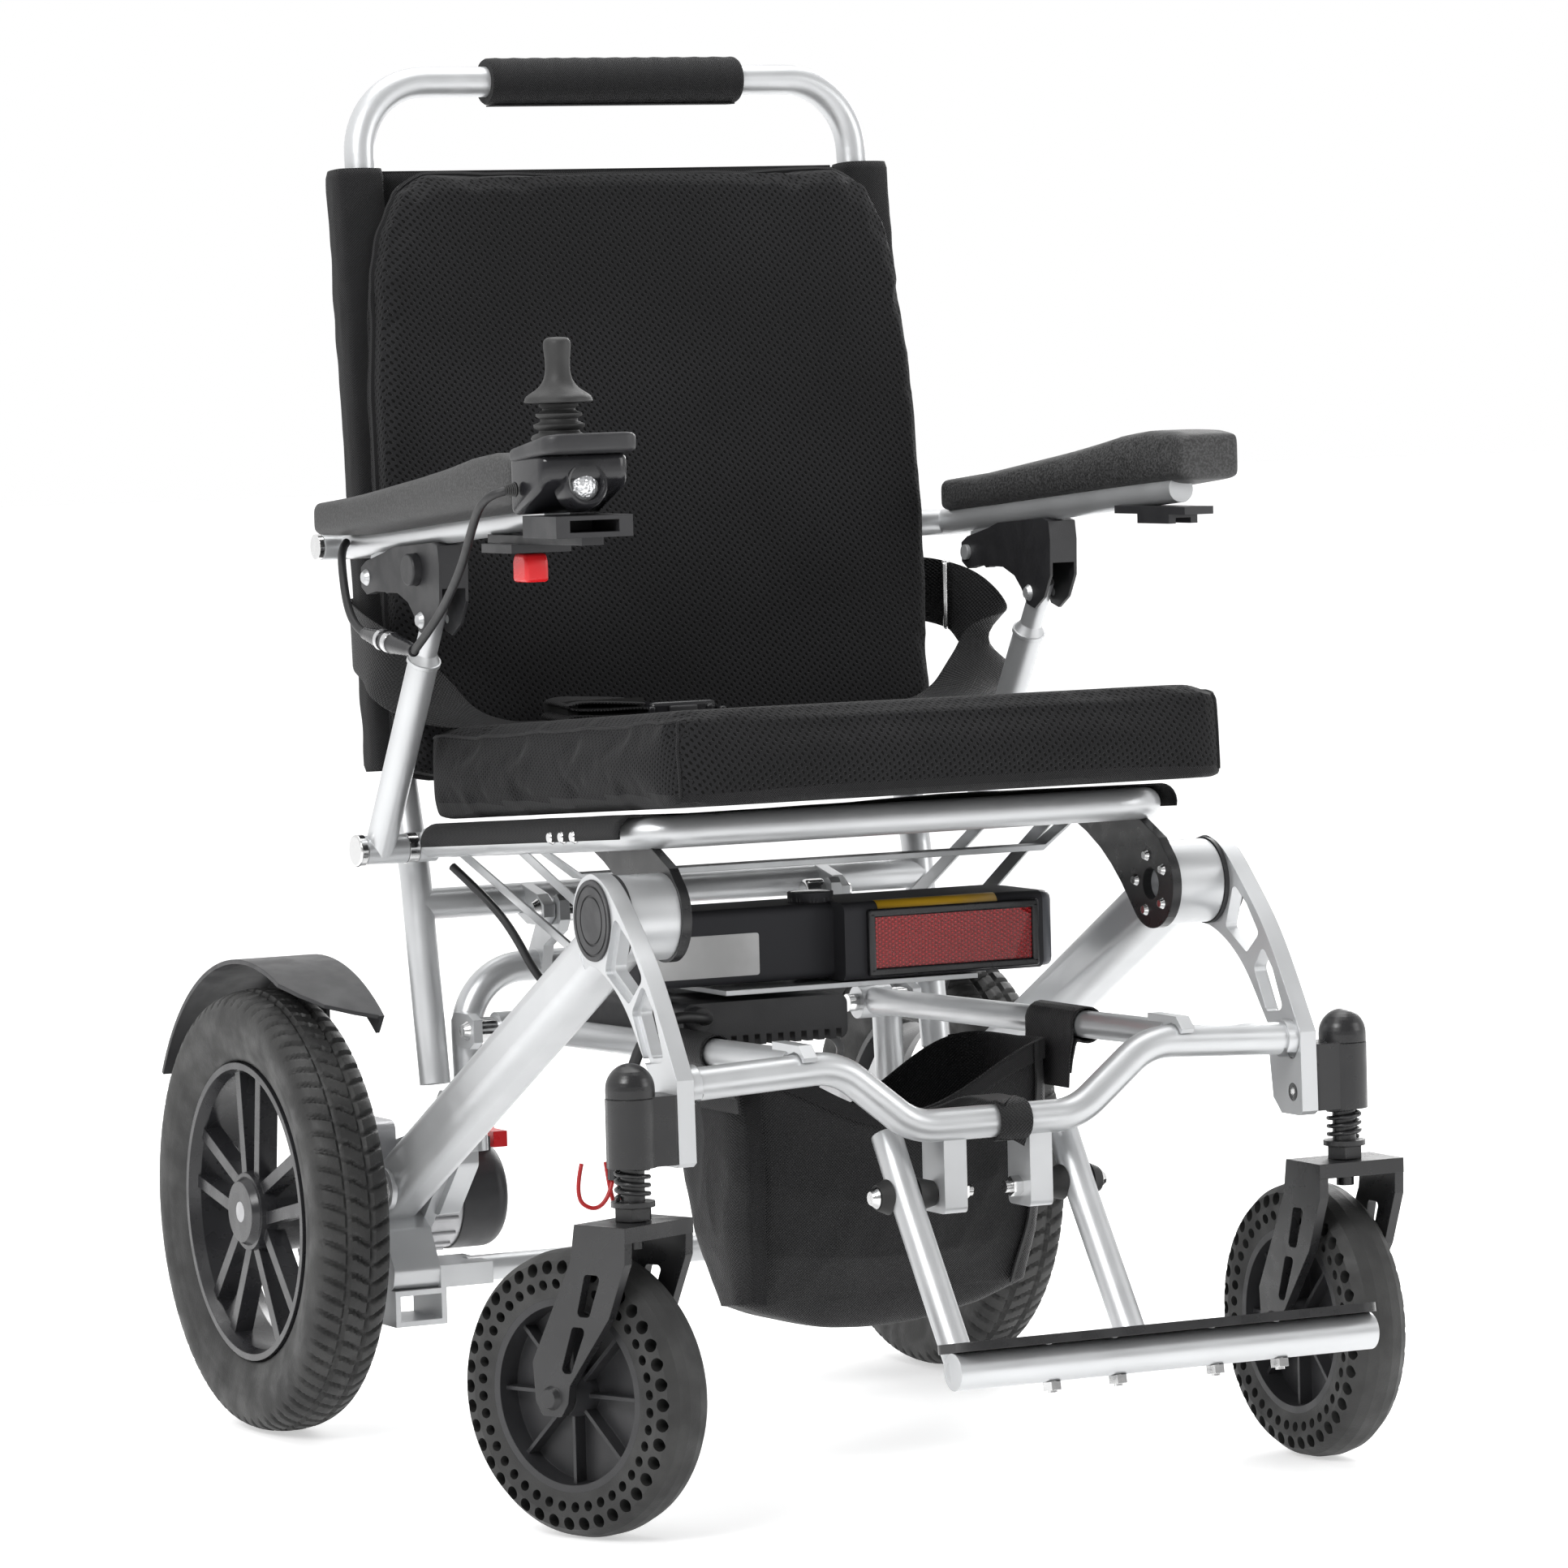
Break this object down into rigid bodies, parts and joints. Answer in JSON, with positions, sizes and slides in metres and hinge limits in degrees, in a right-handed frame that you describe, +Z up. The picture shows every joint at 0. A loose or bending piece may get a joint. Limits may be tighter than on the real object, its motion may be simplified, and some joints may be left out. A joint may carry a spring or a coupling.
{
  "type": "power wheelchair",
  "caption": "Folding electric wheelchair with a silver tube frame, sprung caster wheels, flip-up armrests, stick control, slide-out battery and folding back.",
  "frame": {"origin": "centre of the outside box of the chair at floor level", "axes": "+Z up, -Y the way the chair drives, +X towards the left hand of the rider"},
  "size_m": [0.6468, 0.992, 0.986],
  "materials": {
    "silver_frame": "satin",
    "cradle_metal": "satin",
    "black_metal": "satin",
    "wheel_metal": "gloss",
    "screws": "polished",
    "spring_steel": "satin",
    "motor_metal": "cast",
    "black_plastic": "matte",
    "red_plastic": "gloss",
    "reflector_red": "gloss",
    "tyres": "matte",
    "black_rubber": "matte",
    "pads": "textured",
    "cables": "matte",
    "mesh_fabric": "woven",
    "webbing": "woven"
  },
  "bodies": {
    "chassis": {"rear_frame": "silver_frame", "seat_frame": "silver_frame", "flange_plates": "black_metal", "frame_screws": "screws", "side_tubes": "silver_frame", "battery_cradle": "cradle_metal", "controller_box": "black_plastic", "motors": "motor_metal", "motor_caps": "black_plastic", "fenders": "black_plastic", "storage_bag": "webbing", "wiring_loom": "cables", "seat_sling": "webbing", "seat_cushion": "mesh_fabric", "lap_belt": "webbing"},
    "front_frame": {"arc_brackets": "silver_frame", "hub_caps": "black_plastic", "front_bar": "silver_frame", "caster_housings": "black_metal", "front_fasteners": "screws", "caster_spring_left": "spring_steel", "caster_spring_right": "spring_steel"},
    "footrest": {"footrest_frame": "silver_frame", "footrest_rubbers": "black_rubber", "foot_plate": "black_metal", "foot_plate_bolts": "screws"},
    "back": {"back_frame": "silver_frame", "back_struts": "silver_frame", "back_bolts": "screws", "handle_sleeve": "webbing", "backrest": "mesh_fabric"},
    "armrest_left": {"arm_tube_left": "silver_frame", "arm_pad_left": "pads", "arm_bracket_left": "black_plastic"},
    "armrest_right": {"arm_tube_right": "silver_frame", "arm_pad_right": "pads", "arm_bracket_right": "black_plastic", "hand_control": "black_plastic", "control_lead": "cables"},
    "button_left": {"arm_button_left": "black_plastic"},
    "button_right": {"arm_button_right": "black_plastic"},
    "clamp_tab": {"clamp_lever": "red_plastic"},
    "stick_gimbal": {"stick_boot": "black_rubber"},
    "stick": {"stick_knob": "black_plastic"},
    "battery": {"battery_case": "black_plastic", "battery_reflector": "reflector_red"},
    "clutch_left": {"clutch_lever_left": "red_plastic"},
    "clutch_right": {"clutch_lever_right": "red_plastic"},
    "caster_post_left": {"caster_stem_left": "screws"},
    "caster_fork_left": {"caster_fork_left": "black_metal"},
    "caster_wheel_left": {"caster_tyre_left": "tyres", "caster_hub_left": "black_plastic"},
    "drive_wheel_left": {"rear_tyre_left": "tyres", "rear_rim_left": "wheel_metal"},
    "caster_post_right": {"caster_stem_right": "screws"},
    "caster_fork_right": {"caster_fork_right": "black_metal"},
    "caster_wheel_right": {"caster_tyre_right": "tyres", "caster_hub_right": "black_plastic"},
    "drive_wheel_right": {"rear_tyre_right": "tyres", "rear_rim_right": "wheel_metal"}
  },
  "joints": [
    {"name": "front_fold", "type": "hinge", "parent": "chassis", "child": "front_frame", "pos_m": [0.0159, -0.1522, 0.3972], "axis": [1, 0, 0], "range_deg": [0, 30], "deforming": ["storage_bag"]},
    {"name": "footrest_fold", "type": "hinge", "parent": "front_frame", "child": "footrest", "pos_m": [0.0159, -0.245, 0.209], "axis": [-1, 0, 0], "range_deg": [0, 80]},
    {"name": "back_fold", "type": "hinge", "parent": "chassis", "child": "back", "pos_m": [0.0159, 0.199, 0.426], "axis": [1, 0, 0], "range_deg": [0, 35], "deforming": ["seat_cushion", "lap_belt"]},
    {"name": "armrest_flip_left", "type": "hinge", "parent": "back", "child": "armrest_left", "pos_m": [0.2559, 0.238, 0.64], "axis": [-1, 0, 0], "range_deg": [0, 90]},
    {"name": "arm_release_left", "type": "slide", "parent": "armrest_left", "child": "button_left", "axis": [-1, 0, 0], "range_m": [0, 0.0045], "stiffness_N_per_m": 400, "springref_m": -0.002},
    {"name": "caster_spring_travel_left", "type": "slide", "parent": "front_frame", "child": "caster_post_left", "axis": [0, 0, 1], "range_m": [0, 0.008], "stiffness_N_per_m": 20000, "springref_m": -0.005, "deforming": ["caster_spring_left"]},
    {"name": "caster_swivel_left", "type": "hinge", "parent": "caster_post_left", "child": "caster_fork_left", "pos_m": [0.2859, -0.2596, 0.205], "axis": [0, 0, 1], "continuous": true},
    {"name": "caster_roll_left", "type": "hinge", "parent": "caster_fork_left", "child": "caster_wheel_left", "pos_m": [0.2859, -0.2141, 0.095], "axis": [1, 0, 0], "continuous": true},
    {"name": "drive_roll_left", "type": "hinge", "parent": "chassis", "child": "drive_wheel_left", "pos_m": [0.2889, 0.336, 0.16], "axis": [1, 0, 0], "continuous": true},
    {"name": "clutch_left", "type": "hinge", "parent": "chassis", "child": "clutch_left", "pos_m": [0.1279, 0.322, 0.204], "axis": [0, 0, -1], "range_deg": [0, 45]},
    {"name": "armrest_flip_right", "type": "hinge", "parent": "back", "child": "armrest_right", "pos_m": [-0.2241, 0.238, 0.64], "axis": [-1, 0, 0], "range_deg": [0, 90]},
    {"name": "arm_release_right", "type": "slide", "parent": "armrest_right", "child": "button_right", "axis": [1, 0, 0], "range_m": [0, 0.0045], "stiffness_N_per_m": 400, "springref_m": -0.002},
    {"name": "caster_spring_travel_right", "type": "slide", "parent": "front_frame", "child": "caster_post_right", "axis": [0, 0, 1], "range_m": [0, 0.008], "stiffness_N_per_m": 20000, "springref_m": -0.005, "deforming": ["caster_spring_right"]},
    {"name": "caster_swivel_right", "type": "hinge", "parent": "caster_post_right", "child": "caster_fork_right", "pos_m": [-0.2541, -0.2596, 0.205], "axis": [0, 0, 1], "continuous": true},
    {"name": "caster_roll_right", "type": "hinge", "parent": "caster_fork_right", "child": "caster_wheel_right", "pos_m": [-0.27159, -0.21759, 0.095], "axis": [0.9232, 0.3843, 0], "continuous": true},
    {"name": "drive_roll_right", "type": "hinge", "parent": "chassis", "child": "drive_wheel_right", "pos_m": [-0.2571, 0.336, 0.16], "axis": [1, 0, 0], "continuous": true},
    {"name": "clutch_right", "type": "hinge", "parent": "chassis", "child": "clutch_right", "pos_m": [-0.0961, 0.322, 0.204], "axis": [0, 0, 1], "range_deg": [0, 45]},
    {"name": "clamp_tab_turn", "type": "hinge", "parent": "armrest_right", "child": "clamp_tab", "pos_m": [-0.2241, -0.06, 0.636], "axis": [0, 0, 1], "range_deg": [-45, 45]},
    {"name": "stick_fore_aft", "type": "hinge", "parent": "armrest_right", "child": "stick_gimbal", "pos_m": [-0.2411, -0.153, 0.712], "axis": [1, 0, 0], "range_deg": [-18, 18], "stiffness_Nm_per_rad": 0.8, "deforming": ["stick_boot"]},
    {"name": "stick_side", "type": "hinge", "parent": "stick_gimbal", "child": "stick", "pos_m": [-0.2411, -0.153, 0.712], "axis": [0, 1, 0], "range_deg": [-18, 18], "stiffness_Nm_per_rad": 0.8},
    {"name": "battery_slide", "type": "slide", "parent": "chassis", "child": "battery", "axis": [0, -1, 0], "range_m": [0, 0.12]}
  ]
}
